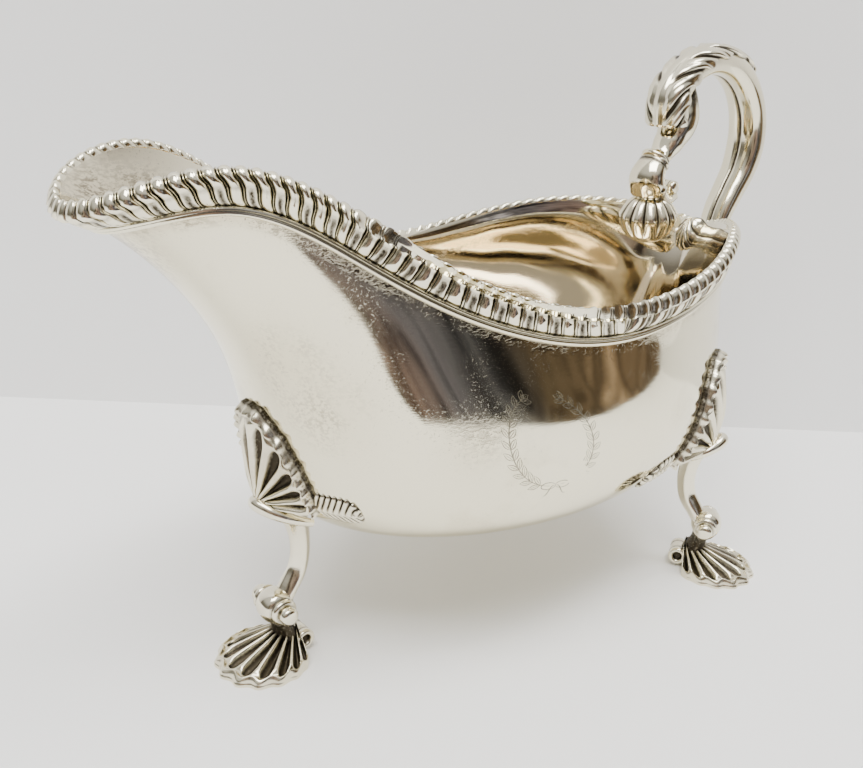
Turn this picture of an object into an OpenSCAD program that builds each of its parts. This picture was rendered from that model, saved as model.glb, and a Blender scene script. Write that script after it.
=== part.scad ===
// Sauce boat on three shell feet, with a gadrooned rim and a flying scroll handle.
// Millimetres, +Z up, the spout towards -X and the handle towards +X, standing on Z = 0.

/* [Bowl] */
// Thickness of the raised sheet
sheet = 1.1; // [0.8:0.1:1.6]
// Height of the bowl's underside above the table
floor_z = 26; // [24:0.5:28]
// Half width of the belly's control ring
belly_half_width = 43; // [40:0.5:46]
// Half length of the belly's control ring
belly_half_length = 62; // [59:0.5:64]

/* [Rim border] */
// Height of the gadrooned border down the outside of the rim
border_h = 5.2; // [4.5:0.1:6]
// How far the border stands out from the sheet
border_t = 2.3; // [1.8:0.1:2.8]
// Gadroons on each side, from the back of the rim to the spout's tip
lobes_per_side = 68; // [50:1:74]
// Height of the plain wire below the gadroons
wire_h = 1.7; // [1.2:0.1:2.2]

/* [Handle] */
// Wall of the handle's hollow scroll
handle_wall = 1.2; // [0.9:0.1:1.5]
// Radius of the fluted bud at the widest
bud_r = 7.1; // [6.5:0.1:7.4]

/* [Feet] */
// Height of the knuckle's axis above the table
knuckle_z = 12; // [11:0.5:13]
// Radius of the knuckle's barrel
knuckle_r = 3.3; // [2.8:0.1:3.6]
// Length of the knuckle's barrel
knuckle_len = 8.4; // [7:0.2:10]
// Reach of the foot shell outwards from the knuckle
foot_reach = 12.9; // [12:0.1:15]
// Half width of the foot shell
foot_half_width = 9.8; // [9:0.1:12]
// Height of the front knee shell up the bowl
knee_front_h = 16.3; // [15:0.1:18]
// Half width of the front knee shell
knee_front_half_width = 10.3; // [9:0.1:11]
// Height of the rear knee shells up the bowl
knee_rear_h = 19; // [17:0.5:21]
// Half width of the rear knee shells
knee_rear_half_width = 13; // [11:0.5:13.5]

/* [Hidden] */
$fn = 48;

// The whole boat is centred on X = 0 by this shift.
x_shift = 3.3;
// Colours
silver = "Silver";
old_silver = "LightSteelBlue";
gilt_silver = "Gainsboro";

// Each foot: the place of its knuckle, and the direction that it points outwards in
foot_place = [[-60, 0], [41.9, -32.6], [41.9, 32.6]];
foot_turn = [180, -60, 60];

// ---- Bowl surface: a B-spline through rings of control points ----
// The rim from the back, round the right side, to the spout's tip.
rim_half = [[72.2, 0, 75], [67.4, -11, 79.6], [47.5, -26, 82.5], [24, -37.5, 77.5], [0, -38, 73],
    [-22, -34.5, 75], [-43, -28, 84], [-61, -21.5, 98], [-77, -17.5, 104], [-92, -13, 99],
    [-98, 0, 94]];
rim_ring = concat(rim_half, [for (i = [9:-1:1]) [rim_half[i][0], -rim_half[i][1], rim_half[i][2]]]);
columns = len(rim_ring);
// Each ring: centre X, half length, half width, Z, share of the rim's own shape.
levels = [
    [-2, 0, 0, floor_z, 0],
    [-2, 34, 22, floor_z, 0],
    [-1, belly_half_length - 7, belly_half_width - 8, floor_z + 3, 0],
    [0, belly_half_length, belly_half_width, floor_z + 18, 0],
    [1, belly_half_length - 3, belly_half_width - 4, floor_z + 34, 0.25],
    [2, belly_half_length - 4, belly_half_width - 8, floor_z + 46, 0.72],
    [0, 0, 0, 0, 1]];
rings = [for (l = levels) [for (i = [0:columns - 1])
    let (a = i * 360 / columns)
    [l[0] + l[1] * cos(a), -l[2] * sin(a), l[3]] * (1 - l[4]) + rim_ring[i] * l[4]]];
spans = len(levels) - 1;

function weights(t) = [(1 - t) ^ 3, 3 * t ^ 3 - 6 * t ^ 2 + 4, -3 * t ^ 3 + 3 * t ^ 2 + 3 * t + 1, t ^ 3] / 6;
function blend4(p, i, t) = let (w = weights(t))
    w[0] * p[i] + w[1] * p[i + 1] + w[2] * p[i + 2] + w[3] * p[i + 3];
function extended(p) = let (n = len(p)) concat([2 * p[0] - p[1]], p, [2 * p[n - 1] - p[n - 2]]);
// A point on an open B-spline that starts and ends on its first and last control points.
function on_spline(p, v) = let (n = len(p) - 1, s = v * n, i = max(0, min(floor(s), n - 1)))
    blend4(extended(p), i, s - i);
function on_ring(ring, u) = let (i = floor(u), w = weights(u - i), n = len(ring))
    w[0] * ring[(i + n - 1) % n] + w[1] * ring[i % n] + w[2] * ring[(i + 1) % n] + w[3] * ring[(i + 2) % n];
function column(u) = [for (r = rings) on_ring(r, u + columns)];
function outside(u, v) = on_spline(column(u), v);
function unit(a) = a / norm(a);
function outward(u, v) = unit(cross(
    on_spline(column(u), v) - on_spline(column(u), v - 0.01),
    outside(u + 0.02, v) - outside(u - 0.02, v)));
// Running lengths along a row of points.
function running(p, k, sum) = k == len(p) - 1 ? [sum]
    : concat([sum], running(p, k + 1, sum + norm(p[k + 1] - p[k])));
// Steps down the sheet from a place on the rim, all in the plane square to the rim there.
drops = 18;
drop_steps = [for (k = [0:drops]) 1 - 0.02 * k];
function squared(u, v, at, along, tries) = tries == 0 ? u : let (
        p = outside(u, v),
        rate = (outside(u + 0.02, v) - p) * along / 0.02)
    squared(u - max(-0.4, min((p - at) * along / rate, 0.4)), v, at, along, tries - 1);
function square_us(u, at, along, k) = k == len(drop_steps) ? [] : let (
        w = squared(u, drop_steps[k], at, along, 3))
    concat([w], square_us(w, at, along, k + 1));
// How far down the sheet each step lies, against its two surface coordinates.
function drop_table(u) = let (
        at = outside(u, 1),
        along = unit(outside(u + 0.02, 1) - outside(u - 0.02, 1)),
        us = square_us(u, at, along, 0),
        lengths = running([for (k = [0:drops]) outside(us[k], drop_steps[k])], 0, 0))
    [[for (k = [0:drops]) [lengths[k], us[k]]], [for (k = [0:drops]) [lengths[k], drop_steps[k]]]];
// A point a distance s below the rim, and n out from the sheet.
function below_rim(table, s, n) = let (u = lookup(s, table[0]), v = lookup(s, table[1]))
    outside(u, v) + n * outward(u, min(v, 0.999));

// ---- Solids from grids of points ----
function quad(a, b, c, d) = [[a, b, c], [a, c, d]];
// Faces between two rows of m points that start at indices i and j.
function strip(i, j, m, loop) = [for (k = [0:m - (loop ? 1 : 2)])
    each quad(i + k, i + (k + 1) % m, j + (k + 1) % m, j + k)];
// A solid skinned over loops of points, closed at both ends by a fan round each loop's middle.
module skin(loops, first, last) {
    m = len(loops[0]);
    n = len(loops);
    hubs = [is_undef(first) ? middle(loops[0]) : first, is_undef(last) ? middle(loops[n - 1]) : last];
    points = concat([for (l = loops) each l], hubs);
    polyhedron(points, concat(
        [for (j = [0:n - 2]) each strip(j * m, (j + 1) * m, m, true)],
        [for (k = [0:m - 1]) [n * m, (k + 1) % m, k]],
        [for (k = [0:m - 1]) [n * m + 1, (n - 1) * m + k, (n - 1) * m + (k + 1) % m]]));
}
function middle(l) = [for (p = l) 1] * l / len(l);
// A solid ring skinned over loops of points, the last joined to the first.
module ring_skin(loops) {
    m = len(loops[0]);
    n = len(loops);
    polyhedron([for (l = loops) each l],
        [for (j = [0:n - 1]) each strip(j * m, ((j + 1) % n) * m, m, true)]);
}
// A solid between two grids of the same size, with walls round all four edges.
module slab(top, under) {
    rows = len(top);
    m = len(top[0]);
    base = rows * m;
    polyhedron(concat([for (r = top) each r], [for (r = under) each r]), concat(
        [for (j = [0:rows - 2]) each strip(j * m, (j + 1) * m, m, false)],
        [for (j = [0:rows - 2]) each strip(base + (j + 1) * m, base + j * m, m, false)],
        strip(base, 0, m, false),
        strip(base - m, 2 * base - m, m, false),
        [for (j = [0:rows - 2]) each quad(j * m, (j + 1) * m, base + (j + 1) * m, base + j * m)],
        [for (j = [0:rows - 2]) let (k = j * m + m - 1) each quad(k, base + k, base + k + m, k + m)]));
}

// ---- The bowl and its rim ----
bowl_columns = 64;
outer_steps = [0.03, 0.1, 0.17, 0.24, 0.31, 0.38, 0.46, 0.54, 0.62, 0.7, 0.78, 0.86, 0.93, 1];
inner_steps = [0.999, 0.93, 0.86, 0.78, 0.7, 0.62, 0.54, 0.46, 0.38, 0.31, 0.24, 0.17, 0.1, 0.03];

module bowl_form() {
    us = [for (k = [0:bowl_columns - 1]) k * columns / bowl_columns];
    skin(concat(
        [for (v = outer_steps) [for (u = us) outside(u, v)]],
        [for (v = inner_steps) [for (u = us) outside(u, v) - sheet * outward(u, v)]]));
}

// The rim's length from the back to each place on the way to the spout.
rim_stops = [for (k = [0:80]) outside(k / 8, 1)];
rim_lengths = running(rim_stops, 0, 0);
rim_length = rim_lengths[80];
rim_table = [for (k = [0:80]) [rim_lengths[k] / rim_length, k / 8]];
function rim_u(share) = lookup(share, rim_table);

// The gadroons counted along the rim, and their lean in lobes, against the share of the rim's length from
// the back to the spout.
count_table = [[0, 0], [0.5, 31 / 68], [0.75, 48 / 68], [1, 1]];
lean_table = [[0, -1], [0.44, -1], [0.46, 0.6], [0.63, 0.5], [0.68, -0.1], [0.73, 0.1], [0.77, 1.2],
    [0.84, 1.5], [0.9, 0.9], [1, 0.8]];
band_profile = [[-1.1, 0], [-0.9, -0.6], [0.3, -0.9], [1.6, -0.4], [border_t, 1.2],
    [border_t - 0.1, 3], [1.5, 4.8], [0, border_h], [0, 2.6], [0, 0]];
function band_point(share, table, p) = let (
        s = p[1],
        phase = lookup(share, count_table) * lobes_per_side + lookup(share, lean_table) * s / border_h,
        swell = 0.82 + 0.18 * abs(sin(180 * phase)) ^ 0.5,
        mid = [-0.1, 2.2],
        q = p[0] > 0.1 || s < -0.1 ? mid + (p - mid) * swell : p)
    below_rim(table, max(q[1], 0), q[0]) + [0, 0, max(-q[1], 0)];
module border_half() {
    stations = 3 * lobes_per_side;
    hub = [0.4, 0.4];
    skin([for (k = [0:stations]) let (table = drop_table(rim_u(k / stations)))
            [for (p = band_profile) band_point(k / stations, table, p)]],
        band_point(0, drop_table(0), hub), band_point(1, drop_table(10), hub));
}

// A drawn wire soldered on just below the gadroons
module rim_wire_form() {
    profile = [[-0.15, border_h - 0.1], [0.8, border_h], [1.1, border_h + wire_h / 2],
        [0.8, border_h + wire_h - 0.2], [-0.15, border_h + wire_h]];
    ring_skin([for (k = [0:95]) let (table = drop_table(k * columns / 96))
        [for (p = profile) below_rim(table, p[1], p[0])]]);
}

// ---- Handle ----
// A smooth curve through points.
function through4(p, i, t) = [-t ^ 3 + 2 * t ^ 2 - t, 3 * t ^ 3 - 5 * t ^ 2 + 2,
    -3 * t ^ 3 + 4 * t ^ 2 + t, t ^ 3 - t ^ 2] / 2 * [for (k = [0:3]) p[i + k]];
function on_curve(p, v) = let (n = len(p) - 1, s = v * n, i = max(0, min(floor(s), n - 1)))
    through4(extended(p), i, s - i);

// The handle's middle line in the plane of symmetry: X, Z, half thickness, half width.
main_line = [[62.2, 58.5, 2.6, 3.6], [65.4, 59.2, 2, 3.1], [68.2, 60.9, 1.8, 2.9], [70.8, 63.5, 1.8, 3],
    [73.2, 66.8, 1.8, 3.3], [75.5, 71, 2, 3.6], [77, 75.6, 2.2, 3.8],
    [79, 80.2, 2.6, 4.1], [81.9, 84.7, 2.9, 4.3], [85, 89.6, 3.1, 4.6], [86.6, 95, 3.3, 4.9],
    [86.5, 100.6, 3.3, 4.9], [84.6, 106.2, 3.3, 4.8], [80.4, 111.7, 3.3, 4.6], [74.5, 115.6, 3.3, 4.6],
    [68, 117.2, 3.3, 4.6], [61.5, 116.6, 3.2, 4.6], [55.6, 113.8, 3.2, 4.5], [51.6, 108.8, 3.5, 4.7],
    [52.4, 102.6, 3.9, 4.7]];
// The lower scroll, from the nose of the main scroll round to its curled end.
scroll_line = [[56.6, 111.2, 2, 3], [57, 107.6, 3.4, 3.8], [56.6, 104.4, 4.2, 4.6], [55.2, 101.2, 4.1, 4.6],
    [53, 98.2, 3.3, 4], [50.4, 95.4, 2.3, 3.1], [47.4, 92.8, 2.9, 4.1], [46.2, 89.8, 3.3, 4.8],
    [48, 86.8, 3.1, 4.6], [52.6, 84.7, 2, 3.2], [56.3, 85.2, 1.3, 2.4]];
// A point at the angle a round the line's section; 0 is the outside of the curve. A power of 1 makes the
// section an ellipse, and a lower one squares its shoulders.
function shoulder(x, power) = sign(x) * abs(x) ^ power;
function round_line(line, v, a, grow, power = 1) = let (
        c = on_curve(line, v),
        d = on_curve(line, v + 0.005) - on_curve(line, v - 0.005),
        n = unit([d[1], -d[0]]) * (c[2] + grow) * shoulder(cos(a), power))
    [c[0] + n[0], -(c[3] + grow) * shoulder(sin(a), power), c[1] + n[1]];

square = 0.78;
module handle_half() {
    stations = 38;
    step = 22.5;
    slab([for (j = [0:stations]) [for (a = [0:step:180]) round_line(main_line, j / stations, a, 0, square)]],
        [for (j = [0:stations]) [for (a = [0:step:180])
            round_line(main_line, j / stations, a, -handle_wall, square)]]);
}

// A long acanthus leaf laid over the top of the scroll and down its nose
module handle_leaf_cap_form() {
    rows = 22;
    ribs = [-90, -68, -45, -22, 0, 22, 45, 68, 90];
    function leaf_v(j) = 0.697 + 0.303 * j / rows;
    function leaf_w(j) = 0.25 + 0.75 * sin(min(90, 8 + 110 * j / rows))
        - 0.1 * max(0, j / rows - 0.85) / 0.15;
    function leaf_lift(j, k) = 0.85 + 0.35 * ((j + abs(k - 4)) % 2);
    slab([for (j = [0:rows]) [for (k = [0:8])
            round_line(main_line, leaf_v(j), ribs[k] * leaf_w(j), leaf_lift(j, k), square)]],
        [for (j = [0:rows]) [for (k = [0:8])
            round_line(main_line, leaf_v(j), ribs[k] * leaf_w(j), 0, square)]]);
}

module handle_scroll_form() {
    stations = 30;
    skin([for (j = [0:stations]) [for (a = [0:36:324]) round_line(scroll_line, j / stations, a, 0)]]);
}
// A roll of silver round the scroll's waist
module handle_collar_form() {
    translate([48.5, 0, 94.4])
        rotate([0, 46, 0])
            rotate_extrude()
                translate([2.6, 0])
                    circle(r = 1, $fn = 16);
}
// The rolled end of the lower scroll
module handle_scroll_buttons_form() {
    translate([55.4, 2.2, 87.3])
        rotate([90, 0, 0])
            rotate_extrude()
                polygon([[0, 0], [1.2, 0], [1.8, 0.6], [1.8, 3.8], [1.2, 4.4], [0, 4.4]]);
}
// A small bead on the scroll's shoulder, where the thumb rests
module handle_spur_form() {
    translate([82, 0, 113])
        rotate([0, 45, 0])
            rotate_extrude()
                polygon([[0, 0], [1.8, 0], [1.1, 1.7], [1.5, 2.5], [1.5, 3.4], [0.9, 4.2], [0, 4.3]]);
}

// A fluted bud hanging from the lower scroll
bud_line = [[2.2, 0], [4.4, -0.8], [6, -2.6], [bud_r, -5], [6.4, -7.4], [5.2, -9.4], [3.1, -10.9],
    [0.9, -11.5]];
module handle_bud_form() {
    flutes = 12;
    translate([47.8, 0, 85.8])
        rotate([0, -5, 0])
            skin([for (k = [len(bud_line) - 1:-1:0]) [for (a = [0:180 / flutes:359])
                let (lobe = round(a * flutes / 180) % 2 == 0 ? 1.06 : 0.93)
                [bud_line[k][0] * lobe * cos(a), -bud_line[k][0] * lobe * sin(a), bud_line[k][1]]]]);
}

// A cast shell inside the bowl, behind the handle's root
root_half_width = 4;
root_middle = 1.8;
root_reach = 7.2;
module handle_root_leaf_form() {
    ribs = 16;
    function wall(h, down, out) = below_rim(drop_table(columns + h / 10.5), down, -sheet - out);
    function leaf(r, k, out) = let (t = 190 * k / ribs - 95, d = cos(t) > 0 ? cos(t) : 1.5 * cos(t))
        wall(root_half_width * r * sin(t), root_middle + root_reach * r * d, out);
    function lift(r, k) = 0.5 + 1.9 * sqrt(1 - r ^ 2) + (k % 2 == 0 ? 0.5 : 0);
    rows = [0.12, 0.4, 0.65, 0.85, 1];
    slab([for (r = rows) [for (k = [0:ribs]) leaf(r, k, lift(r, k))]],
        [for (r = rows) [for (k = [0:ribs]) leaf(r, k, -0.2)]]);
}

// ---- Feet ----
// Where each foot's shell lies on the bowl: 0 is the front foot and 1 is the rear right one.
body_u = [10, 2.85];
function height_table(u) = [for (k = [0:30]) [outside(u, 0.12 + 0.028 * k)[2], 0.12 + 0.028 * k]];
front_heights = height_table(body_u[0]);
rear_heights = height_table(body_u[1]);
function body_v(foot, z) = lookup(z, foot == 0 ? front_heights : rear_heights);
// A point out from the bowl, h round it from the foot's middle and s up it from height z.
function on_body(foot, z, h, s, out) = let (
        u0 = body_u[foot],
        v0 = body_v(foot, z),
        v = v0 + 0.1 * s / norm(outside(u0, v0 + 0.05) - outside(u0, v0 - 0.05)),
        u = u0 + h / norm(outside(u0 + 0.5, v) - outside(u0 - 0.5, v)))
    outside(u, v) + out * outward(u, v);

// A cast shell spreading up the bowl from the knee
knee_root_z = [38.6, 36.5];
knee_hs = [knee_front_h, knee_rear_h];
knee_half_widths = [knee_front_half_width, knee_rear_half_width];
knee_rows = [0.14, 0.38, 0.6, 0.8, 0.93, 1];
function knee_point(foot, r, a, out) = let (
        reach = 1 / sqrt((cos(a) / knee_hs[foot]) ^ 2 + (sin(a) / knee_half_widths[foot]) ^ 2))
    on_body(foot, knee_root_z[foot], r * reach * sin(a), r * reach * cos(a), out);
function knee_lift(r, k) = 1.6 + 4.6 * (1 - r) ^ 1.3 + (k % 2 == 0 ? (r > 0.95 ? -0.3 : 0.6) : 0);
module knee_shell_form(foot) {
    ribs = 20;
    slab([for (r = knee_rows) [for (k = [0:ribs])
            knee_point(foot, r, 212 * k / ribs - 106, knee_lift(r, k))]],
        [for (r = knee_rows) [for (k = [0:ribs]) knee_point(foot, r, 212 * k / ribs - 106, -0.1)]]);
}

// A spray of leaves along the bowl on each side of the knee
spray_z = [37.6, 34.9];
spray_start = [8.8, 12];
spray_length = [9.5, 13];
module knee_sprays_form(foot) {
    for (side = [-1, 1])
        knee_spray(foot, side);
}
module knee_spray(foot, side) {
    rows = [-1, -0.5, 0, 0.5, 1];
    steps = 7;
    function width(k) = 0.7 + 1.7 * sin(170 * k / steps) ^ 0.8 + (k % 2 == 0 ? 0.3 : 0);
    function spray(k, r, out) = let (j = (side > 0 ? k : steps - k) / steps)
        on_body(foot, spray_z[foot], side * (spray_start[foot] + spray_length[foot] * j),
            r * width(j * steps), out);
    slab([for (r = rows) [for (k = [0:steps]) spray(k, r, 1.1 - 0.7 * abs(r) + (k % 2 == 0 ? 0.3 : 0))]],
        [for (r = rows) [for (k = [0:steps]) spray(k, r, -0.1)]]);
}

// The roll of metal round the bottom of the knee shell
module knee_collar_form(place) {
    steps = 16;
    function bend(q) = place + [-8.6 * abs(q) ^ 1.7, 5.8 * sin(90 * q), -4.4 * abs(q) ^ 1.3];
    function radius(q) = 1.6 - 0.8 * abs(q);
    skin([for (k = [0:steps]) let (
            q = 1 - 2 * k / steps,
            d = unit(bend(q - 0.02) - bend(q + 0.02)),
            side = unit(cross(d, [0, 0, 1])),
            up = cross(side, d))
        [for (a = [300:-60:0]) bend(q) + radius(q) * (sin(a) * side + cos(a) * up)]]);
}

// The leg's middle line, up from the foot shell's hinge: outwards from the knuckle, Z, half thickness,
// half width.
leg_line = [[-2.2, 4.6, 2.3, 3.4], [-1.1, 8, 1.9, 2.7], [-1.2, 11.6, 2, 2.4], [-3, 14.8, 2, 2.5],
    [-5.2, 18.2, 1.9, 2.3], [-6.1, 22, 1.9, 2.2], [-6, 26, 2, 2.4], [-5.2, 30, 2.4, 3], [-4, 34, 3, 4]];
module leg_form() {
    steps = 18;
    skin([for (j = [0:steps]) [for (a = [0:36:324]) round_line(leg_line, j / steps, a, 0)]]);
}

// A barrel with a middle band, and a button on each end
module knuckle_form() {
    translate([0, 0, knuckle_z])
        rotate([90, 0, 0])
            rotate_extrude()
                polygon([[0, -knuckle_len / 2], [2.2, -knuckle_len / 2],
                    [knuckle_r - 0.2, 0.8 - knuckle_len / 2], [knuckle_r, -1.5], [knuckle_r + 0.3, -1.2],
                    [knuckle_r + 0.3, 1.2], [knuckle_r, 1.5],
                    [knuckle_r - 0.2, knuckle_len / 2 - 0.8], [2.2, knuckle_len / 2], [0, knuckle_len / 2]]);
}
module knuckle_buttons_form() {
    for (side = [-1, 1])
        translate([0, side * knuckle_len / 2, knuckle_z])
            rotate([-90 * side, 0, 0])
                rotate_extrude()
                    polygon([[0, 0], [1.7, 0], [1.9, 0.5], [1.9, 1.6], [1.3, 2.1], [0, 2.3]]);
}

// A scallop shell that the boat stands on, with a flat underside
foot_middle = foot_reach - foot_half_width;
hinge_x = -4.5;
foot_rows = [0.16, 0.4, 0.62, 0.82, 0.93, 1];
function foot_point(r, a, z) = let (
        back = foot_middle - hinge_x,
        reach = back * cos(a) + sqrt(foot_half_width ^ 2 - (back * sin(a)) ^ 2))
    [hinge_x + r * reach * cos(a), r * reach * sin(a), z];
function foot_lift(r, k) = 1.3 + 6.2 * (1 - r) ^ 1.1 + (k % 2 == 0 ? (r > 0.95 ? 0.5 : 0.6) : 0);
module foot_shell_form() {
    ribs = 18;
    difference() {
        slab([for (r = foot_rows) [for (k = [0:ribs]) foot_point(r, 168 * k / ribs - 84, foot_lift(r, k))]],
            [for (r = foot_rows) [for (k = [0:ribs]) foot_point(r, 168 * k / ribs - 84, -1)]]);
        translate([-20, -20, -10])
            cube([40, 40, 10]);
    }
}
// The shell's hinge curls back on itself behind the knuckle.
module foot_volute_form() {
    translate([-5.5, 0, 2.9])
        rotate([90, 0, 0])
            rotate_extrude()
                polygon([[0, -2.6], [0.9, -2.6], [0.9, -3.2], [1.9, -3.2], [2.2, -2.7], [2.2, 2.7],
                    [1.9, 3.2], [0.9, 3.2], [0.9, 2.6], [0, 2.6]]);
}

module at_foot(foot) {
    translate([foot_place[foot][0], foot_place[foot][1], 0])
        rotate([0, 0, foot_turn[foot]])
            children();
}

// ---- The named pieces ----
module centred() {
    translate([x_shift, 0, 0])
        children();
}
module bowl() color(silver) centred() bowl_form();
module rim_border_right() color(old_silver) centred() border_half();
module rim_border_left() color(old_silver) centred() mirror([0, 1, 0]) border_half();
module rim_wire() color(silver) centred() rim_wire_form();
module handle_half_right() color(silver) centred() handle_half();
module handle_half_left() color(silver) centred() mirror([0, 1, 0]) handle_half();
module handle_leaf_cap() color(old_silver) centred() handle_leaf_cap_form();
module handle_scroll() color(old_silver) centred() handle_scroll_form();
module handle_collar() color(old_silver) centred() handle_collar_form();
module handle_scroll_buttons() color(old_silver) centred() handle_scroll_buttons_form();
module handle_bud() color(gilt_silver) centred() handle_bud_form();
module handle_spur() color(old_silver) centred() handle_spur_form();
module handle_root_leaf() color(gilt_silver) centred() handle_root_leaf_form();
module knee_shell_front() color(old_silver) centred() knee_shell_form(0);
module knee_shell_rear_right() color(old_silver) centred() knee_shell_form(1);
module knee_shell_rear_left() color(old_silver) centred() mirror([0, 1, 0]) knee_shell_form(1);
module knee_collar_front() color(old_silver) centred() at_foot(0) knee_collar_form([3.4, 0, 36]);
module knee_collar_rear_right() color(old_silver) centred() at_foot(1) knee_collar_form([0.6, -2.4, 35.2]);
module knee_collar_rear_left() color(old_silver) centred() at_foot(2) knee_collar_form([0.6, 2.4, 35.2]);
module knee_sprays_front() color(old_silver) centred() knee_sprays_form(0);
module knee_sprays_rear_right() color(old_silver) centred() knee_sprays_form(1);
module knee_sprays_rear_left() color(old_silver) centred() mirror([0, 1, 0]) knee_sprays_form(1);
module leg_front() color(silver) centred() at_foot(0) leg_form();
module leg_rear_right() color(silver) centred() at_foot(1) leg_form();
module leg_rear_left() color(silver) centred() at_foot(2) leg_form();
module knuckle_front() color(silver) centred() at_foot(0) knuckle_form();
module knuckle_rear_right() color(silver) centred() at_foot(1) knuckle_form();
module knuckle_rear_left() color(silver) centred() at_foot(2) knuckle_form();
module knuckle_buttons_front() color(silver) centred() at_foot(0) knuckle_buttons_form();
module knuckle_buttons_rear_right() color(silver) centred() at_foot(1) knuckle_buttons_form();
module knuckle_buttons_rear_left() color(silver) centred() at_foot(2) knuckle_buttons_form();
module foot_shell_front() color(old_silver) centred() at_foot(0) foot_shell_form();
module foot_shell_rear_right() color(old_silver) centred() at_foot(1) foot_shell_form();
module foot_shell_rear_left() color(old_silver) centred() at_foot(2) foot_shell_form();
module foot_volute_front() color(silver) centred() at_foot(0) foot_volute_form();
module foot_volute_rear_right() color(silver) centred() at_foot(1) foot_volute_form();
module foot_volute_rear_left() color(silver) centred() at_foot(2) foot_volute_form();

bowl();
rim_border_right();
rim_border_left();
rim_wire();
handle_half_right();
handle_half_left();
handle_leaf_cap();
handle_scroll();
handle_collar();
handle_scroll_buttons();
handle_bud();
handle_spur();
handle_root_leaf();
knee_shell_front();
knee_shell_rear_right();
knee_shell_rear_left();
knee_collar_front();
knee_collar_rear_right();
knee_collar_rear_left();
knee_sprays_front();
knee_sprays_rear_right();
knee_sprays_rear_left();
leg_front();
leg_rear_right();
leg_rear_left();
knuckle_front();
knuckle_rear_right();
knuckle_rear_left();
knuckle_buttons_front();
knuckle_buttons_rear_right();
knuckle_buttons_rear_left();
foot_shell_front();
foot_shell_rear_right();
foot_shell_rear_left();
foot_volute_front();
foot_volute_rear_right();
foot_volute_rear_left();
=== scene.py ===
import math

import bpy
import numpy as np
from mathutils import Matrix


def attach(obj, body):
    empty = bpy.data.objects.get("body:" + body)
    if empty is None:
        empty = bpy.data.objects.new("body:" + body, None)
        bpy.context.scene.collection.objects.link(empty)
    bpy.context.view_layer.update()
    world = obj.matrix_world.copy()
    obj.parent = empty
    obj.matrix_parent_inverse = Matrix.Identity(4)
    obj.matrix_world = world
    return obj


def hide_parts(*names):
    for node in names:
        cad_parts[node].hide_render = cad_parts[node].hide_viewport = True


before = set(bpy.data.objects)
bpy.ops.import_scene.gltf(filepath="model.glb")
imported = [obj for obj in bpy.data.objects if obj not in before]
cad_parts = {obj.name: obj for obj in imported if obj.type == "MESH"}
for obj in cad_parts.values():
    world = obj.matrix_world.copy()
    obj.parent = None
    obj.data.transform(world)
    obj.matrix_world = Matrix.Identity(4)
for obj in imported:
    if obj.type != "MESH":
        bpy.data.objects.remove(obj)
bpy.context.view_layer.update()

X_SHIFT = 3.3  # the shapes below are in mm, and the CAD part is centred by this shift
SHEET = 1.1
rng = np.random.default_rng(7)


# ---- Curves and surfaces, by the same formulas as the CAD part ----
def weights(t):
    return np.stack([(1 - t) ** 3, 3 * t**3 - 6 * t**2 + 4, -3 * t**3 + 3 * t**2 + 3 * t + 1, t**3]) / 6


FLOOR_Z = 26
RIM_HALF = [[72.2, 0, 75], [67.4, -11, 79.6], [47.5, -26, 82.5], [24, -37.5, 77.5], [0, -38, 73],
            [-22, -34.5, 75], [-43, -28, 84], [-61, -21.5, 98], [-77, -17.5, 104], [-92, -13, 99],
            [-98, 0, 94]]
RIM = np.array(RIM_HALF + [[x, -y, z] for x, y, z in RIM_HALF[9:0:-1]], float)
COLUMNS = len(RIM)
LEVELS = [[-2, 0, 0, 26, 0], [-2, 34, 22, 26, 0], [-1, 55, 35, 29, 0], [0, 62, 43, 44, 0],
          [1, 59, 39, 60, 0.25], [2, 58, 35, 72, 0.72], [0, 0, 0, 0, 1]]


def level_ring(level):
    cx, length, width, z, share = level
    a = np.arange(COLUMNS) * 2 * math.pi / COLUMNS
    own = np.stack([cx + length * np.cos(a), -width * np.sin(a), np.full(COLUMNS, z)], 1)
    return own * (1 - share) + RIM * share


RINGS = [level_ring(l) for l in LEVELS]


def on_ring(ring, u):
    i = np.floor(u).astype(int)
    w = weights(u - i)
    return sum(w[k][..., None] * ring[(i + k - 1) % COLUMNS] for k in range(4))


def outside(u, v):
    u, v = np.broadcast_arrays(np.asarray(u, float), np.asarray(v, float))
    c = [on_ring(r, u) for r in RINGS]
    c = np.stack([2 * c[0] - c[1], *c, 2 * c[-1] - c[-2]])
    s = v * 6
    i = np.clip(np.floor(s).astype(int), 0, 5)
    w = weights(s - i)
    return sum(w[k][..., None] * np.take_along_axis(c, (i + k)[None, ..., None], 0)[0] for k in range(4))


def unit(a):
    return a / np.maximum(np.linalg.norm(a, axis=-1, keepdims=True), 1e-9)


def outward(u, v):
    return unit(np.cross(outside(u, v) - outside(u, v - 0.01), outside(u + 0.02, v) - outside(u - 0.02, v)))


SECTIONS = 1600
DROPS, DROP_STEP = 60, 0.25


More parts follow.
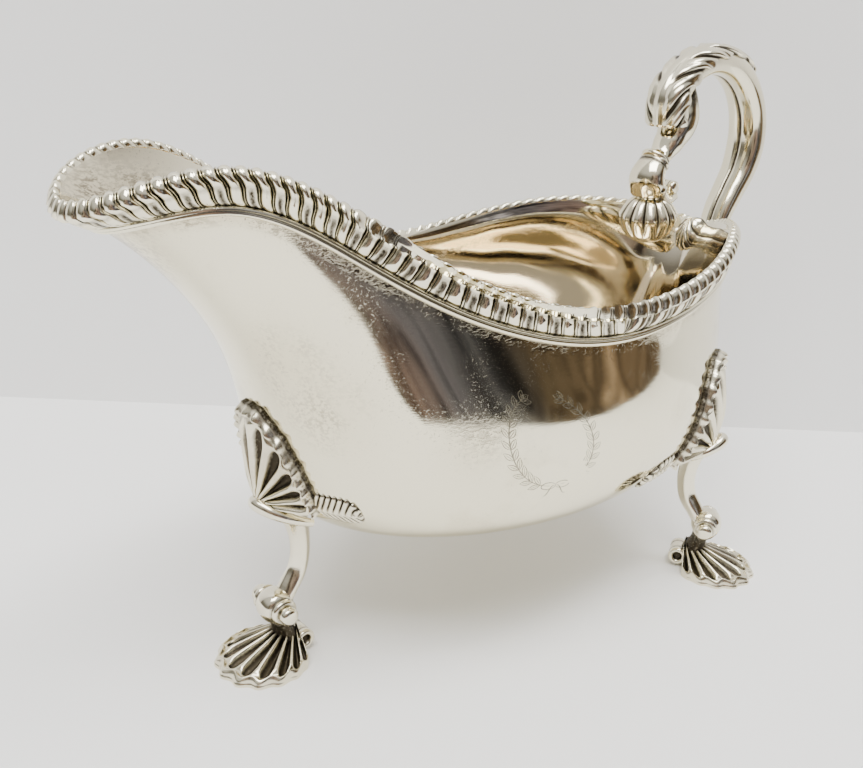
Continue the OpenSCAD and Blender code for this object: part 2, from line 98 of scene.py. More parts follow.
def rim_sections():
    """Points at equal steps down the sheet, in planes square to the rim, and the ways out from them."""
    stations = np.linspace(0, COLUMNS, SECTIONS + 1)
    at = outside(stations, 1.0)
    along = unit(outside(stations + 0.02, 1.0) - outside(stations - 0.02, 1.0))
    steps = 1 - 0.01 * np.arange(44)
    u, us = stations, []
    for v in steps:
        for _ in range(3):
            p = outside(u, v)
            rate = ((outside(u + 0.02, v) - p) * along).sum(-1) / 0.02
            u = u - np.clip(((p - at) * along).sum(-1) / rate, -0.4, 0.4)
        us.append(u)
    us = np.stack(us, 1)
    line = outside(us, steps[None, :])
    lengths = np.linalg.norm(np.diff(line, axis=1), axis=2)
    run = np.concatenate([np.zeros((len(us), 1)), np.cumsum(lengths, 1)], 1)
    drops = np.arange(DROPS) * DROP_STEP
    section_u = np.stack([np.interp(drops, r, w) for r, w in zip(run, us)])
    section_v = np.stack([np.interp(drops, r, steps) for r in run])
    return outside(section_u, section_v), outward(section_u, np.minimum(section_v, 0.999))


SHEET_AT, SHEET_OUT = rim_sections()


def below_rim(u, s, n):
    """Points a distance s down the sheet from the rim, square to it, and n out from it."""
    u, s, n = np.broadcast_arrays(*[np.asarray(a, float) for a in (u, s, n)])
    x, y = (u % COLUMNS) / COLUMNS * SECTIONS, s / DROP_STEP
    i, j = np.minimum(x.astype(int), SECTIONS - 1), np.minimum(y.astype(int), DROPS - 2)
    a, b = (x - i)[..., None], (y - j)[..., None]

    def between(g):
        upper = g[i, j] * (1 - a) + g[i + 1, j] * a
        lower = g[i, j + 1] * (1 - a) + g[i + 1, j + 1] * a
        return upper * (1 - b) + lower * b

    return between(SHEET_AT) + n[..., None] * between(SHEET_OUT)


def on_curve(points, v):
    p = np.asarray(points, float)
    p = np.concatenate([[2 * p[0] - p[1]], p, [2 * p[-1] - p[-2]]])
    n = len(points) - 1
    s = np.asarray(v, float) * n
    i = np.clip(np.floor(s).astype(int), 0, n - 1)
    t = (s - i)[..., None]
    a, b, c, d = p[i], p[i + 1], p[i + 2], p[i + 3]
    return 0.5 * ((2 * b) + (c - a) * t + (2 * a - 5 * b + 4 * c - d) * t**2 + (3 * b - a - 3 * c + d) * t**3)


def round_line(line, v, a, grow=0.0, power=1.0):
    """Points at the angle a round a line's section, 0 on the outside of its curve; a low power squares it."""
    v, a, grow = np.broadcast_arrays(*[np.asarray(x, float) for x in (v, a, grow)])
    c = on_curve(line, v)
    d = on_curve(line, v + 0.005) - on_curve(line, v - 0.005)
    n = unit(np.stack([d[..., 1], -d[..., 0]], -1))
    ca, sa = [np.sign(x) * np.abs(x) ** power for x in (np.cos(np.radians(a)), np.sin(np.radians(a)))]
    return np.stack([c[..., 0] + n[..., 0] * (c[..., 2] + grow) * ca, -(c[..., 3] + grow) * sa,
                     c[..., 1] + n[..., 1] * (c[..., 2] + grow) * ca], -1)


def smooth(x, lo, hi):
    t = np.clip((x - lo) / (hi - lo), 0, 1)
    return t * t * (3 - 2 * t)


def bell(x, middle, width):
    return np.exp(-(((x - middle) / width) ** 2))


def hump(f, start=0.0, length=1.0):
    return np.sin(np.pi * np.clip((f - start) / length, 0, 1))


def column(values):
    return np.array(values, float)[:, None]


# ---- Meshes ----
def point_values(mesh, name, values):
    mesh.attributes.new(name, "FLOAT", "POINT").data.foreach_set("value", values.astype(np.float32))


class Mesh:
    """Collects grids of points and their oxide, and turns them into one Blender mesh."""

    def __init__(self):
        self.points, self.oxide, self.faces, self.count = [], [], [], 0

    def add(self, points, faces, oxide):
        volume = 0.0
        for f in faces:
            q = points[f]
            for k in range(1, f.shape[1] - 1):
                volume += np.einsum("ij,ij->i", q[:, 0], np.cross(q[:, k], q[:, k + 1])).sum()
        if volume < 0:
            faces = [f[:, ::-1] for f in faces]
        self.points.append(points)
        self.oxide.append(np.broadcast_to(oxide, len(points)).astype(float))
        self.faces += [f + self.count for f in faces]
        self.count += len(points)

    def skin(self, loops, oxide=0.0, first=None, last=None, ring=False):
        """A solid over loops of points, closed by a fan at each end, or a ring."""
        n, m = loops.shape[:2]
        ids = np.arange(n * m).reshape(n, m)
        up = np.roll(ids, -1, 0) if ring else ids[1:]
        low = ids if ring else ids[:-1]
        quads = np.stack([low, np.roll(low, -1, 1), np.roll(up, -1, 1), up], -1).reshape(-1, 4)
        points = loops.reshape(-1, 3)
        oxide = np.broadcast_to(oxide, (n, m)).reshape(-1)
        if ring:
            return self.add(points, [quads], oxide)
        first = loops[0].mean(0) if first is None else first
        last = loops[-1].mean(0) if last is None else last
        k = np.arange(m)
        fans = np.concatenate([np.stack([np.full(m, n * m), (k + 1) % m, k], 1),
                               np.stack([np.full(m, n * m + 1), ids[-1][k], ids[-1][(k + 1) % m]], 1)])
        oxide = np.concatenate([oxide, [oxide[:m].mean(), oxide[-m:].mean()]])
        self.add(np.concatenate([points, [first, last]]), [quads, fans], oxide)

    def slab(self, top, under, oxide=0.0):
        """A solid between two grids of the same size, with walls round the edges."""
        n, m = top.shape[:2]
        a = np.arange(n * m).reshape(n, m)
        b = a + n * m

        def quads(p, q, r, s):
            return np.stack([p, q, r, s], -1).reshape(-1, 4)

        faces = [quads(a[:-1, :-1], a[:-1, 1:], a[1:, 1:], a[1:, :-1]),
                 quads(b[:-1, :-1], b[1:, :-1], b[1:, 1:], b[:-1, 1:]),
                 quads(a[0, :-1], b[0, :-1], b[0, 1:], a[0, 1:]),
                 quads(a[-1, :-1], a[-1, 1:], b[-1, 1:], b[-1, :-1]),
                 quads(a[:-1, 0], a[1:, 0], b[1:, 0], b[:-1, 0]),
                 quads(a[:-1, -1], b[:-1, -1], b[1:, -1], a[1:, -1])]
        oxide = np.broadcast_to(oxide, (n, m)).reshape(-1)
        points = np.concatenate([top.reshape(-1, 3), under.reshape(-1, 3)])
        self.add(points, [np.concatenate(faces)], np.concatenate([oxide, oxide]))

    def build(self, name, material, slot, nodes, place=None, mirror=False, sharp=45):
        points = np.concatenate(self.points)
        if place is not None:
            (px, py), turn = place
            c, s = math.cos(turn), math.sin(turn)
            x, y, z = points.T
            points = np.stack([px + c * x - s * y, py + s * x + c * y, z], 1)
        faces = self.faces
        if mirror:
            points = points * [1, -1, 1]
            faces = [f[:, ::-1] for f in faces]
        points = (points + [X_SHIFT, 0, 0]) * 0.001
        sizes = np.concatenate([np.full(len(f), f.shape[1]) for f in faces])
        corners = np.concatenate([f.reshape(-1) for f in faces]).astype(np.int32)
        mesh = bpy.data.meshes.new(name)
        mesh.vertices.add(len(points))
        mesh.vertices.foreach_set("co", points.reshape(-1).astype(np.float32))
        mesh.loops.add(len(corners))
        mesh.loops.foreach_set("vertex_index", corners)
        mesh.polygons.add(len(sizes))
        mesh.polygons.foreach_set("loop_start", np.concatenate([[0], np.cumsum(sizes)[:-1]]).astype(np.int32))
        mesh.update(calc_edges=True)
        mesh.validate()
        mesh.polygons.foreach_set("use_smooth", np.ones(len(mesh.polygons), bool))
        mesh.set_sharp_from_angle(angle=math.radians(sharp))
        point_values(mesh, "oxide", np.concatenate(self.oxide))
        mesh.materials.append(material)
        piece = bpy.data.objects.new(name, mesh)
        bpy.context.scene.collection.objects.link(piece)
        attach(piece, "root")
        if nodes:
            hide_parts(*nodes)
        return piece


# ---- Silver ----
def node(tree, kind, links=None, **values):
    n = tree.nodes.new(kind)
    for key, value in values.items():
        if hasattr(n, key):
            setattr(n, key, value)
        else:
            n.inputs[key.replace("_", " ")].default_value = value
    for key, source in (links or {}).items():
        tree.links.new(source, n.inputs[key])
    return n


def ramp(tree, source, stops):
    n = tree.nodes.new("ShaderNodeValToRGB")
    tree.links.new(source, n.inputs[0])
    while len(n.color_ramp.elements) < len(stops):
        n.color_ramp.elements.new(0.5)
    for element, (at, colour) in zip(n.color_ramp.elements, stops):
        element.position = at
        element.color = (*colour, 1) if len(colour) == 3 else (colour[0],) * 3 + (1,)
    return n.outputs[0]


def noise(tree, vector, scale, detail, rough):
    made = node(tree, "ShaderNodeTexNoise", {"Vector": vector}, Scale=scale, Detail=detail, Roughness=rough)
    return made.outputs["Fac"]


def stretched(tree, vector, scale, rotation=(0, 0, 0)):
    made = node(tree, "ShaderNodeMapping", {"Vector": vector})
    made.inputs["Scale"].default_value = scale
    made.inputs["Rotation"].default_value = rotation
    return made.outputs[0]


def spread(tree, source, low, high, to_low=0.0, to_high=1.0):
    made = node(tree, "ShaderNodeMapRange", {"Value": source}, From_Min=low, From_Max=high)
    made.inputs["To Min"].default_value = to_low
    made.inputs["To Max"].default_value = to_high
    return made.outputs[0]


def both_of(tree, operation, a, b, **values):
    return node(tree, "ShaderNodeMath", {0: a, 1: b}, operation=operation, **values).outputs[0]


def attribute(tree, name):
    return node(tree, "ShaderNodeAttribute", attribute_name=name).outputs["Fac"]


MIX_A, MIX_B = 6, 7  # the Mix node's colour sockets
CLOUD_SCALE, SPECK_SCALE = 55.0, 2200.0
STREAK_SCALE, SCRATCH_SCALE = (380, 1500, 1500), (260, 900, 2600)
WARM_INSIDE = (0.72, 0.645, 0.50)
PIT_COLOUR = (0.16, 0.13, 0.09)
OXIDE_COLOUR = (0.050, 0.041, 0.028)


def silver(name, bright, dull, rough, stain, pits, scratch, inside=False):
    """Old polished silver: patches of tarnishing, pits, streaks, fine scratches and black oxide in the
    grooves.
    """
    material = bpy.data.materials.new(name)
    material.use_nodes = True
    tree = material.node_tree
    shader = tree.nodes["Principled BSDF"]
    shader.inputs["Metallic"].default_value = 1.0
    place = node(tree, "ShaderNodeTexCoord").outputs["Object"]
    cloud = noise(tree, place, CLOUD_SCALE, 5.0, 0.62)
    speck = noise(tree, place, SPECK_SCALE, 4.0, 0.65)
    # The bowl's stains and a line just under the wire dull the colour and add specks and streaks.
    stain_and_wire_line = attribute(tree, "stain_and_wire_line")
    patch = both_of(tree, "MAXIMUM", ramp(tree, cloud, [(0.54, (0,)), (0.74, (stain,))]), stain_and_wire_line)
    worn = both_of(tree, "MULTIPLY", patch, ramp(tree, speck, [(0.60, (0,)), (0.68, (1,))]))
    broken = ramp(tree, cloud, [(0.40, (0,)), (0.55, (1,))])
    marked = both_of(tree, "MULTIPLY", ramp(tree, stain_and_wire_line, [(0.22, (0,)), (0.75, (1,))]), broken)
    streak = noise(tree, stretched(tree, place, STREAK_SCALE), 1.0, 4.0, 0.7)
    streaked = both_of(tree, "MULTIPLY", marked, ramp(tree, streak, [(0.47, (0,)), (0.56, (1,))]))
    worn = both_of(tree, "MAXIMUM", worn, streaked)
    base = node(tree, "ShaderNodeMix", {"Factor": patch}, data_type="RGBA")
    base.inputs[MIX_A].default_value = (*bright, 1)
    base.inputs[MIX_B].default_value = (*dull, 1)
    colour = base.outputs[2]
    if inside:
        mask = attribute(tree, "inside")
        warm = node(tree, "ShaderNodeMix", {"Factor": mask, MIX_A: colour}, data_type="RGBA")
        warm.inputs[MIX_B].default_value = (*WARM_INSIDE, 1)
        colour = warm.outputs[2]
    pitted = node(tree, "ShaderNodeMath", {0: worn}, operation="MULTIPLY")
    pitted.inputs[1].default_value = pits
    dark = node(tree, "ShaderNodeMix", {"Factor": pitted.outputs[0], MIX_A: colour}, data_type="RGBA")
    dark.inputs[MIX_B].default_value = (*PIT_COLOUR, 1)
    grit = spread(tree, speck, 0.3, 0.7, 0.75, 1.2)
    deep = both_of(tree, "MULTIPLY", attribute(tree, "oxide"), grit, use_clamp=True)
    black = ramp(tree, deep, [(0.12, (0,)), (0.85, (1.0,))])
    final = node(tree, "ShaderNodeMix", {"Factor": black, MIX_A: dark.outputs[2]}, data_type="RGBA")
    final.inputs[MIX_B].default_value = (*OXIDE_COLOUR, 1)
    tree.links.new(final.outputs[2], shader.inputs["Base Color"])
    polish = spread(tree, cloud, 0.35, 0.7, rough, rough * 2.1)
    in_grooves = node(tree, "ShaderNodeMath", {0: black, 2: polish}, operation="MULTIPLY_ADD")
    in_grooves.inputs[1].default_value = 0.3
    in_pits = node(tree, "ShaderNodeMath", {0: worn, 2: in_grooves.outputs[0]}, operation="MULTIPLY_ADD")
    in_pits.inputs[1].default_value = 0.05
    tree.links.new(in_pits.outputs[0], shader.inputs["Roughness"])
    lines = noise(tree, stretched(tree, place, SCRATCH_SCALE, (0.4, 0.3, 0.9)), 1.0, 3.0, 0.6)
    fine = node(tree, "ShaderNodeBump", {"Height": lines}, Strength=scratch, Distance=0.00006)
    skin = node(tree, "ShaderNodeBump", {"Height": pitted.outputs[0], "Normal": fine.outputs[0]}, invert=True)
    skin.inputs["Strength"].default_value = 0.4
    skin.inputs["Distance"].default_value = 0.00005
    tree.links.new(skin.outputs[0], shader.inputs["Normal"])
    return material


BRIGHT = (0.865, 0.81, 0.615)
sheet_silver = silver("sheet_silver", BRIGHT, (0.68, 0.61, 0.44), 0.045, 0.75, 0.85, 0.05, inside=True)
wire_silver = silver("wire_silver", BRIGHT, (0.66, 0.61, 0.49), 0.09, 0.9, 0.8, 0.15)
border_silver = silver("border_silver", (0.865, 0.81, 0.63), (0.66, 0.60, 0.46), 0.09, 0.6, 0.5, 0.12)
handle_silver = silver("handle_silver", (0.85, 0.79, 0.60), (0.64, 0.57, 0.42), 0.08, 0.7, 0.6, 0.12)
leaf_silver = silver("leaf_silver", (0.82, 0.765, 0.60), (0.62, 0.55, 0.40), 0.11, 0.7, 0.5, 0.15)
bud_silver = silver("bud_silver", (0.80, 0.73, 0.55), (0.56, 0.48, 0.33), 0.12, 0.9, 0.5, 0.15)
shell_silver = silver("shell_silver", (0.78, 0.725, 0.56), (0.52, 0.46, 0.33), 0.13, 0.8, 0.7, 0.20)
foot_silver = silver("foot_silver", (0.83, 0.775, 0.61), (0.60, 0.54, 0.40), 0.09, 0.8, 0.7, 0.15)


# ---- Bowl ----
def undulate(p):
    """The sheet is raised by hand, so it is a few hundredths of a millimetre out of true."""
    x, y, z = p[..., 0], p[..., 1], p[..., 2]
    w = np.zeros(x.shape)
    for _ in range(10):
        k = rng.normal(size=3) / rng.uniform(3.2, 8)
        w += np.sin(x * k[0] + y * k[1] + z * k[2] + rng.uniform(0, 6.28))
    return w * 0.008


BOWL_COLUMNS = 520
LIP_TURNS = (0.5, 1.2, 1.9, 2.6)  # how far round the lip's rounded edge each loop lies, in radians


def bowl_loops():
    """Loops up the outside of the bowl, over its lip and down the inside."""
    us = np.arange(BOWL_COLUMNS) * COLUMNS / BOWL_COLUMNS
    grid_u, grid_v = np.meshgrid(us, np.concatenate([[0.012, 0.03], np.linspace(0.06, 0.995, 84)]))
    skin = outside(grid_u, grid_v)
    normal = outward(grid_u, grid_v)
    skin = skin + undulate(skin)[..., None] * normal
    lip, lip_n = outside(us, np.ones(BOWL_COLUMNS)), outward(us, np.full(BOWL_COLUMNS, 0.999))
    over = [lip - lip_n * SHEET * (0.5 - 0.5 * math.cos(t)) + np.array([0, 0, 0.25 * math.sin(t)])
            for t in LIP_TURNS]
    return np.concatenate([skin, np.stack(over), (skin - SHEET * normal)[::-1]])


loops = bowl_loops()
hubs = [[-2, 0, FLOOR_Z], [-2, 0, FLOOR_Z + SHEET]]
bowl = Mesh()
bowl.skin(loops, 0.0, *np.array(hubs))
bowl_mesh = bowl.build("silver_bowl", sheet_silver, "sheet_silver", ["bowl"], sharp=60).data
outer_points = (len(loops) - len(LIP_TURNS)) // 2 * BOWL_COLUMNS
lip_points = len(LIP_TURNS) * BOWL_COLUMNS
within = np.concatenate([np.zeros(outer_points + lip_points), np.ones(outer_points), [0, 1]])
depth = 1 - smooth(np.concatenate([loops[..., 2].reshape(-1), [0, 0]]), 66, 88)
point_values(bowl_mesh, "inside", within * (0.3 + 0.7 * depth))

# Where, how far and how much the sheet is stained.
STAINS = [((-68, -13, 69), 8, 0.5), ((-60, -18, 59), 12, 0.5), ((-37, -32, 53), 8, 0.45),
          ((-84, 6, 92), 12, 0.95), ((-70, 10, 88), 9, 0.8)]
WIRE_FOOT = 7.2
AT_ONCE = 20000  # points measured at a time, to save memory


def marks_on_sheet(points):
    """How much the sheet is dulled and specked: in a darker line just below the border's wire, and by stains
    in patches on the belly and up the spout.
    """
    marks = np.zeros(len(points))
    wire_line = below_rim(np.arange(0, COLUMNS, 0.1), WIRE_FOOT, 0.0)
    for k in range(0, len(points), AT_ONCE):
        part = points[k:k + AT_ONCE]
        gap = np.sqrt(((part[:, None] - wire_line[None]) ** 2).sum(-1).min(1))
        # Just under the wire the sheet is made darker and duller in a narrow line, with a faint wider band
        # round it.
        marks[k:k + AT_ONCE] = 0.85 * bell(gap, 0, 1.3) + 0.12 * bell(gap, 0, 5)
    for centre, size, amount in STAINS:
        marks += amount * np.exp(-(((points - centre) ** 2).sum(1) / size**2))
    return np.clip(marks, 0, 1)


point_values(bowl_mesh, "stain_and_wire_line", marks_on_sheet(np.concatenate([loops.reshape(-1, 3), hubs])))

# ---- Gadrooned border ----
BORDER_H = 5.2
LOBES = 68
SPOUT_END = -96.75
CREST_REACH = 0.855  # how far the crests stand out, as a share of CREST
stops_u = np.linspace(0, COLUMNS / 2, 801)
rim_steps = np.linalg.norm(np.diff(outside(stops_u, 1.0), axis=0), axis=1)
rim_run = np.concatenate([[0], np.cumsum(rim_steps)])


def rim_u(share):
    return np.interp(share, rim_run / rim_run[-1], stops_u)


COUNT = np.array([[0, 0], [0.5, 31], [0.75, 48], [1, LOBES]], float)
LEAN = [[0, -1], [0.44, -1], [0.46, 0.6], [0.63, 0.5], [0.68, -0.1], [0.73, 0.1], [0.77, 1.2],
        [0.84, 1.5], [0.9, 0.9], [1, 0.8]]
CREST = [[-1.0, 1.0], [-1.2, 0.4], [-1.15, -0.25], [-0.75, -0.8], [-0.05, -1.05], [0.75, -1.0],
         [1.5, -0.62], [2.02, 0.05], [2.22, 0.9], [2.24, 1.8], [2.16, 2.7], [2.0, 3.5], [1.72, 4.2],
         [1.3, 4.75], [0.75, 5.08], [0.1, 5.2], [-0.25, 4.2], [-0.25, 2.4], [-0.35, 1.2]]
VALLEY = [[-1.0, 1.0], [-1.1, 0.5], [-1.02, 0.1], [-0.6, -0.2], [-0.05, -0.3], [0.4, -0.2], [0.72, 0.1],
          [0.9, 0.55], [1.0, 1.1], [1.02, 1.8], [1.02, 2.6], [0.98, 3.4], [0.95, 4.0], [0.85, 4.5],
          [0.6, 4.95], [0.05, 5.15], [-0.25, 4.2], [-0.25, 2.4], [-0.35, 1.2]]
CREST, VALLEY = np.array(CREST, float), np.array(VALLEY, float)
PHASES = np.array([0, .02, .045, .075, .105, .13, .15, .175, .21, .26, .33, .41, .49, .57, .65, .72, .79, .85,
                   .90, .94, .975])


def lobe_height(f, flute, s):
    """How high a lobe stands at the phase f: a thin reed, then the lobe, full or hollowed out lower down."""
    reed = 0.72 * hump(f, 0.01, 0.13) ** 0.7
    hollow = 0.62 * hump(f, 0.2, 0.74) ** 1.2
    notch = 0.22 * bell(s, 1.9, 0.45)
    body = hump(f, 0.155, 0.835) ** 0.55 * (1 - flute * smooth(s, 0.9, 2.4) * hollow) * (1 - notch)
    return np.maximum(reed, body)


def border():
    phase = (np.arange(LOBES)[:, None] + PHASES[None, :]).reshape(-1)
    phase = np.append(phase, LOBES)
    f = phase % 1
    flute = ((np.floor(phase) % 2) == 1).astype(float)
    fade = np.clip(np.minimum(phase, LOBES - phase) / 3, 0, 1)
    place = np.interp(phase, COUNT[:, 1], COUNT[:, 0])
    lean = np.interp(place, *np.array(LEAN).T) * fade
    s = CREST[:, 1][None, :] + 0 * phase[:, None]
    h = lobe_height(f[:, None], flute[:, None], s)
    h[:, -3:] = 0
    profile = VALLEY[None] + (CREST - VALLEY)[None] * h[..., None]
    profile[..., 0] = np.where(profile[..., 0] > 0, CREST_REACH, 1) * profile[..., 0]
    down = np.clip(profile[..., 1], 0, BORDER_H)
    sway = lean[:, None] * (down / BORDER_H - 0.1 + 0.10 * np.sin(2 * np.pi * down / BORDER_H))
    share = np.interp(np.clip(phase[:, None] - sway, 0, LOBES), COUNT[:, 1], COUNT[:, 0])
    grid = below_rim(rim_u(share), down, profile[..., 0])
    grid[..., 2] += np.maximum(-profile[..., 1], 0)
    grid[..., 0] = np.maximum(grid[..., 0], SPOUT_END)
    grid[0, :, 1] = 0
    grid[-1, :, 1] = 0
    dark = 1 - smooth(h, 0.08, 0.72)
    in_flute = flute[:, None] * smooth(s, 1.2, 2.6) * hump(f[:, None], 0.2, 0.74) ** 1.5 * 0.85
    dark = np.maximum(np.maximum(dark, in_flute), 0.55 * bell(s, 1.95, 0.3))
    dark[:, :2] *= 0.5
    return grid, dark


grid, dark = border()
for side in ("right", "left"):
    mesh = Mesh()
    mesh.skin(grid, dark)
    mesh.build(f"gadroon_border_{side}", border_silver, "border_silver", [f"rim_border_{side}"],
               mirror=side == "left", sharp=70)

WIRE = [[-0.15, 5.1], [0.45, 5.1], [0.8, 5.2], [0.98, 5.4], [1.02, 5.62], [0.86, 5.8], [0.97, 5.98],
        [1.06, 6.2], [1.0, 6.45], [0.78, 6.68], [0.4, 6.84], [-0.15, 6.9], [-0.3, 6.0]]
WIRE_OXIDE = [0.8, 0.8, 0.25, 0, 0, 0.85, 0, 0, 0, 0.1, 0.55, 0.9, 0.5]
WIRE_STEPS = 900
wire_out, wire_down = np.array(WIRE, float).T
wire_u = np.arange(WIRE_STEPS) * COLUMNS / WIRE_STEPS
mesh = Mesh()
mesh.skin(below_rim(wire_u[:, None], wire_down, wire_out), WIRE_OXIDE, ring=True)
mesh.build("border_wire", wire_silver, "sheet_silver", ["rim_wire"])

# ---- Handle ----
MAIN = [[62.2, 58.5, 2.6, 3.6], [65.4, 59.2, 2, 3.1], [68.2, 60.9, 1.8, 2.9], [70.8, 63.5, 1.8, 3],
        [73.2, 66.8, 1.8, 3.3], [75.5, 71, 2, 3.6], [77, 75.6, 2.2, 3.8], [79, 80.2, 2.6, 4.1],
        [81.9, 84.7, 2.9, 4.3], [85, 89.6, 3.1, 4.6], [86.6, 95, 3.3, 4.9], [86.5, 100.6, 3.3, 4.9],
        [84.6, 106.2, 3.3, 4.8], [80.4, 111.7, 3.3, 4.6], [74.5, 115.6, 3.3, 4.6], [68, 117.2, 3.3, 4.6],
        [61.5, 116.6, 3.2, 4.6], [55.6, 113.8, 3.2, 4.5], [51.6, 108.8, 3.5, 4.7],
        [52.4, 102.6, 3.9, 4.7]]
SCROLL = [[56.6, 111.2, 2, 3], [57, 107.6, 3.4, 3.8], [56.6, 104.4, 4.2, 4.6], [55.2, 101.2, 4.1, 4.6],
          [53, 98.2, 3.3, 4], [50.4, 95.4, 2.3, 3.1], [47.4, 92.8, 2.9, 4.1], [46.2, 89.8, 3.3, 4.8],
          [48, 86.8, 3.1, 4.6], [52.6, 84.7, 2, 3.2], [56.3, 85.2, 1.3, 2.4]]
SQUARE = 0.78

TUBE_ROWS = 213
main_v = np.concatenate([np.linspace(0, 0.985, TUBE_ROWS - 3), [0.991, 0.996, 1.0]])[:, None]
tip = np.concatenate([np.full(TUBE_ROWS - 3, -0.01), [-0.15, -0.5, -1.1]])[:, None]
angles = np.concatenate([[0.0], np.linspace(4, 174, 36), [177, 179, 180]])
seam_cut = np.where(angles > 178, -0.28, np.where(angles > 176, -0.06, 0))
outer = round_line(MAIN, main_v, angles, tip + seam_cut, SQUARE)
inner = round_line(MAIN, np.linspace(0, 0.99, TUBE_ROWS)[:, None], angles[::4], -1.2, SQUARE)
outer[:, [0, -1], 1] = 0
seam_oxide = np.where(angles > 178, 0.9, np.where(angles > 176, 0.35, 0))
tube_oxide = np.concatenate([seam_oxide, np.zeros(inner.shape[1])])
for side in ("right", "left"):
    mesh = Mesh()
    mesh.skin(np.concatenate([outer, inner[:, ::-1]], 1), tube_oxide)
    mesh.build(f"handle_casting_{side}", handle_silver, "handle_silver", [f"handle_half_{side}"],
               mirror=side == "left", sharp=60)


LEAF_START = 0.697  # how far along the handle the leaf starts


def leaf_cap():
    """A long leaf down the top of the scroll: a midrib, and lobes that sweep back from it on each side."""
    rows, cols = 220, 97
    j = np.linspace(0, 1, rows)[:, None]
    x = np.linspace(-1, 1, cols)[None, :]
    width = 0.22 + 0.78 * np.sin(np.radians(np.minimum(90, 8 + 115 * j)))
    width = width - 0.1 * np.clip(j - 0.86, 0, 1) / 0.14
    lobe = j * 6.2 + np.abs(x) * 1.35
    f = lobe % 1
    edge = 1 - 0.10 * smooth(np.abs(x), 0.55, 1) * np.cos(2 * np.pi * f)
    angle = 98 * width * x * edge
    rib = bell(x, 0, 0.075)
    vein = bell(f, 0.5, 0.11) * smooth(np.abs(x), 0.07, 0.2)
    cut = (1 - smooth(np.minimum(f, 1 - f), 0.06, 0.19)) * smooth(np.abs(x), 0.1, 0.25)
    bulge = hump(f) ** 0.7 * smooth(np.abs(x), 0.06, 0.25)
    margin = 1 - smooth(np.abs(x), 0.93, 1.0)
    ends = smooth(j, 0, 0.04) * (1 - 0.5 * smooth(j, 0.97, 1))
    lift = 0.38 + 0.6 * bulge + 0.42 * rib - 0.15 * vein - 0.30 * cut
    lift = lift * (0.25 + 0.75 * margin) * (0.3 + 0.7 * ends)
    v = LEAF_START + (1 - LEAF_START) * j + 0 * x
    top = round_line(MAIN, v, angle, lift, SQUARE)
    low = round_line(MAIN, v, angle, -0.15 + 0 * lift, SQUARE)
    oxide = np.clip(cut * 1.0 + 0.15 * vein + 0.6 * smooth(np.abs(x), 0.95, 1), 0, 1)
    return top, low, oxide


mesh = Mesh()
mesh.slab(*leaf_cap())
mesh.build("leaf_over_handle", leaf_silver, "leaf_silver", ["handle_leaf_cap"], sharp=60)

sv = np.linspace(0, 1, 150)[:, None]
ridges = 0.45 * bell(sv, 0.56, 0.012) + 0.3 * bell(sv, 0.77, 0.015) - 0.25 * bell(sv, 0.36, 0.05)
hollows = 0.9 * bell(sv, 0.585, 0.012) + 0.8 * bell(sv, 0.535, 0.01) + 0.7 * bell(sv, 0.8, 0.012)
scroll_oxide = np.clip(hollows + 0.8 * (1 - smooth(sv, 0.06, 0.16)), 0, 1)
mesh = Mesh()
mesh.skin(round_line(SCROLL, sv, np.arange(0, 360, 6), ridges), scroll_oxide)
mesh.build("lower_scroll", handle_silver, "handle_silver", ["handle_scroll"])


def revolve(profile, steps=64):
    """Loops of a profile of (radius, height) turned about Z."""
    a = np.arange(steps) * 2 * math.pi / steps
    p = np.asarray(profile, float)
    r = p[:, 0][:, None] * np.ones(steps)[None, :]
    return np.stack([r * np.cos(a), r * np.sin(a), p[:, 1][:, None] + 0 * r], -1)


def turned(points, axis, angle):
    return points @ np.array(Matrix.Rotation(angle, 3, axis)).T


def torus(radius, thick):
    """A roll, flattened a little more on one side."""
    round_it = np.linspace(0, 2 * np.pi, 80, endpoint=False)[:, None]
    roll = np.linspace(0, 2 * np.pi, 20, endpoint=False)[None, :]
    reach = radius + thick * np.cos(roll)
    height = thick * (0.85 + 0.1 * np.cos(round_it)) * np.sin(roll)
    return np.stack([reach * np.cos(round_it), reach * np.sin(round_it), height], -1)


mesh = Mesh()
mesh.skin(turned(torus(2.6, 1), "Y", math.radians(46)) + [48.5, 0, 94.4], 0.0, ring=True)
mesh.build("scroll_waist_roll", handle_silver, "handle_silver", ["handle_collar"])

BUTTON = [[0.5, 0], [1.0, 0.02], [1.35, 0.15], [1.65, 0.45], [1.78, 0.9], [1.78, 1.35], [1.5, 1.5],
          [1.78, 1.65], [1.78, 2.75], [1.5, 2.9], [1.78, 3.05], [1.78, 3.5], [1.65, 3.95], [1.35, 4.25],
          [1.0, 4.38], [0.5, 4.4]]
BUTTON_OXIDE = [0.1, 0, 0, 0, 0, 0, 0.9, 0, 0, 0.9, 0, 0, 0, 0, 0, 0.1]
mesh = Mesh()
mesh.skin(turned(revolve(BUTTON), "X", math.radians(90)) + [55.4, 2.2, 87.3], column(BUTTON_OXIDE))
mesh.build("scroll_end", handle_silver, "handle_silver", ["handle_scroll_buttons"])

SPUR = [[1.8, 0], [1.6, 0.6], [1.15, 1.25], [0.98, 1.7], [1.05, 1.95], [1.32, 2.3], [1.5, 2.8],
        [1.5, 3.3], [1.25, 3.8], [0.8, 4.15], [0.3, 4.28]]
SPUR_OXIDE = [0.6, 0.2, 0.3, 0.9, 0.4, 0, 0, 0, 0, 0, 0]
mesh = Mesh()
mesh.skin(turned(revolve(SPUR), "Y", math.radians(45)) + [82, 0, 113], column(SPUR_OXIDE))
mesh.build("thumb_bead", handle_silver, "handle_silver", ["handle_spur"])


BUD_LINE = [[2.2, 0, 0, 0], [4.4, -0.8, 0, 0], [6, -2.6, 0, 0], [7.1, -5, 0, 0], [6.4, -7.4, 0, 0],
            [5.2, -9.4, 0, 0], [3.1, -10.9, 0, 0], [0.9, -11.5, 0, 0]]
BUD_FLUTES = 12


